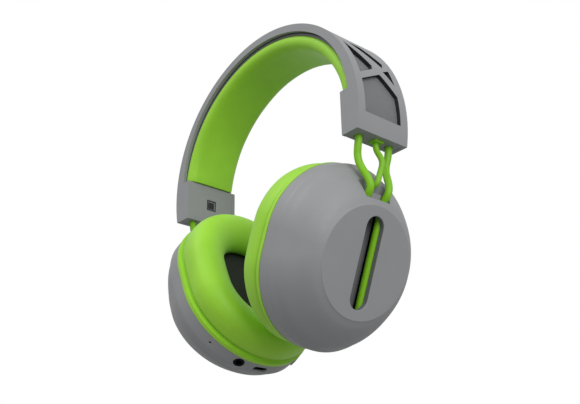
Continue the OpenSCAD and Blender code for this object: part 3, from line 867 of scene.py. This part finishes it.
def soften(node, body, mat, width=0.4, segments=3, name=None, windows=False, angle=38):
    src = NODES[node]
    me = src.data.copy()
    ob = bpy.data.objects.new(name or node + "_skin", me)
    SC.collection.objects.link(ob)
    me.materials.clear()
    me.materials.append(M[mat])
    me.materials.append(M["recess_wall_shade"])
    bm = bmesh.new()
    bm.from_mesh(me)
    bmesh.ops.remove_doubles(bm, verts=bm.verts, dist=0.000003)
    bmesh.ops.dissolve_degenerate(bm, edges=bm.edges, dist=0.000003)
    bmesh.ops.recalc_face_normals(bm, faces=bm.faces)
    bmesh.ops.dissolve_limit(bm, angle_limit=math.radians(0.4), verts=bm.verts, edges=bm.edges)
    for f in bm.faces:
        c = f.calc_center_median()
        # faces on the side walls of the truss windows and inside each block plate's recess take the dark grey as
        # painted shade
        recess = node.startswith("block_plate") and abs(c.y) < 0.0034 and 0.05645 < c.z < 0.0633 and BLOCK_X - 0.1 < abs(c.x) / MM < BLOCK_X + 1.7
        f.material_index = 1 if recess and abs(abs(c.x) / MM - BLOCK_X) > 0.05 or windows and on_window_wall(c, f.normal) else 0
        f.smooth = True
    bm.to_mesh(me)
    bm.free()
    bv = ob.modifiers.new("bevel", "BEVEL")
    bv.width = width * MM
    bv.segments = segments
    bv.limit_method = "ANGLE"
    bv.angle_limit = math.radians(angle)
    bv.use_clamp_overlap = True
    bv.harden_normals = False
    bv.material = 0
    apply_all(ob)
    ob.data.set_sharp_from_angle(angle=math.radians(35))
    wn = ob.modifiers.new("wn", "WEIGHTED_NORMAL")
    wn.keep_sharp = True
    apply_all(ob)
    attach(ob, body)
    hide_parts(node)
    return ob


soften("band_shell", "band", "shell_grey", 0.55, 3, "band_outer_skin", windows=True)
for s, t in SIDES:
    soften("block_plate_" + t, "band", "shell_grey", 0.3, 2, "block_inner_face_" + t)
    soften("grommet_" + t, "band", "cable_lime", 0.4, 3, "cable_grommet_" + t)
for b in ("power", "up", "down"):
    soften("button_" + b, "button_" + b, "shell_grey", 0.35, 3, "key_" + b)


# ---------------------------------------------------------------- CAD nodes that stay as they are
FINISH = {}
for r in frame["record"]["materials"]:
    FINISH[r["slot"]] = r
SUB = {p.get("name"): p for p in frame["record"].get("subparts", [])}
BY_NODE = {
    "band_shell": "shell_grey", "band_spring": "steel", "band_liner": "liner_grey_and_channel_shade",
    "circuit_board": "board_green", "charging_port": "gunmetal", "headphone_socket": "socket_black", "microphone": "black_plastic",
    "battery": "battery_wrap", "button_power": "shell_grey", "button_up": "shell_grey", "button_down": "shell_grey",
}
for t in "lr":
    BY_NODE.update({
        "band_mesh_" + t: "mesh_fabric", "block_plate_" + t: "shell_grey", "block_base_" + t: "shell_grey",
        "yoke_screws_" + t: "steel", "rod_clip_" + t: "dark_plastic", "grommet_" + t: "plastic_lime",
        "slide_guide_" + t: "shell_grey", "baffle_" + t: "dark_plastic", "driver_" + t: "black_plastic",
        "cushion_ring_" + t: "soft_lime", "baffle_screws_" + t: "steel"})
for name, ob in NODES.items():
    if ob.hide_render:
        continue
    paint(ob, M[BY_NODE[name]])
    ob.data.shade_smooth()
    ob.data.set_sharp_from_angle(angle=math.radians(28))


# ---------------------------------------------------------------- stage, lights, world
def area_light(name, loc, aim, size, power, color=(1, 1, 1)):
    d = bpy.data.lights.new(name, "AREA")
    d.shape = "DISK"
    d.size, d.energy, d.color = size, power, color
    o = bpy.data.objects.new(name, d)
    o.location = loc
    o.rotation_mode = "QUATERNION"
    o.rotation_quaternion = (Vector(aim) - Vector(loc)).to_track_quat("-Z", "Y")
    SC.collection.objects.link(o)
    return o


def stage():
    me = bpy.data.meshes.new("floor")
    v = [(-20, -20, -0.172), (20, -20, -0.172), (20, 20, -0.172), (-20, 20, -0.172)]
    me.from_pydata(v, [], [(0, 1, 2, 3)])
    ob = bpy.data.objects.new("floor", me)
    SC.collection.objects.link(ob)
    m = Mat("floor", srgb("#dededc"), 0.9, 0.2)
    m.rough(m.noise(3, 2), 0.85, 0.95)
    m.b.inputs["Emission Color"].default_value = (1, 1, 1, 1)
    m.b.inputs["Emission Strength"].default_value = 0.38
    paint(ob, m.m)
    ob.visible_diffuse = False
    ob.visible_glossy = False
    w = SC.world or bpy.data.worlds.new("world")
    SC.world = w
    w.use_nodes = True
    t = w.node_tree
    bg = t.nodes["Background"]
    out = t.nodes["World Output"]
    bg.inputs["Color"].default_value = (1, 1, 1, 1)
    bg.inputs["Strength"].default_value = 1.0
    # the sky lights the object softly from above and less from below; seen directly it is white
    soft = t.nodes.new("ShaderNodeBackground")
    co = t.nodes.new("ShaderNodeTexCoord")
    sep = t.nodes.new("ShaderNodeSeparateXYZ")
    t.links.new(co.outputs["Generated"], sep.inputs[0])
    rng = t.nodes.new("ShaderNodeMapRange")
    rng.inputs["From Min"].default_value = -0.8
    rng.inputs["From Max"].default_value = 0.8
    rng.inputs["To Min"].default_value = SKY[0]
    rng.inputs["To Max"].default_value = SKY[1]
    t.links.new(sep.outputs["Z"], rng.inputs["Value"])
    t.links.new(rng.outputs["Result"], soft.inputs["Strength"])
    lp = t.nodes.new("ShaderNodeLightPath")
    mix = t.nodes.new("ShaderNodeMixShader")
    t.links.new(lp.outputs["Is Camera Ray"], mix.inputs["Fac"])
    t.links.new(soft.outputs[0], mix.inputs[1])
    t.links.new(bg.outputs[0], mix.inputs[2])
    t.links.new(mix.outputs[0], out.inputs["Surface"])
    SC.view_settings.view_transform = "Standard"
    SC.view_settings.look = "None"
    mid = Vector((0, 0, 0.04))
    # key from the front and above, a weaker fill from the camera's right
    area_light("key", Vector((-0.12, -0.78, 0.95)), mid, 0.7, KEY)
    area_light("fill", Vector((1.05, -0.35, 0.30)), mid, 0.8, FILL)


SKY, KEY, FILL = (0.40, 0.90), 4.4, 6.2
stage()
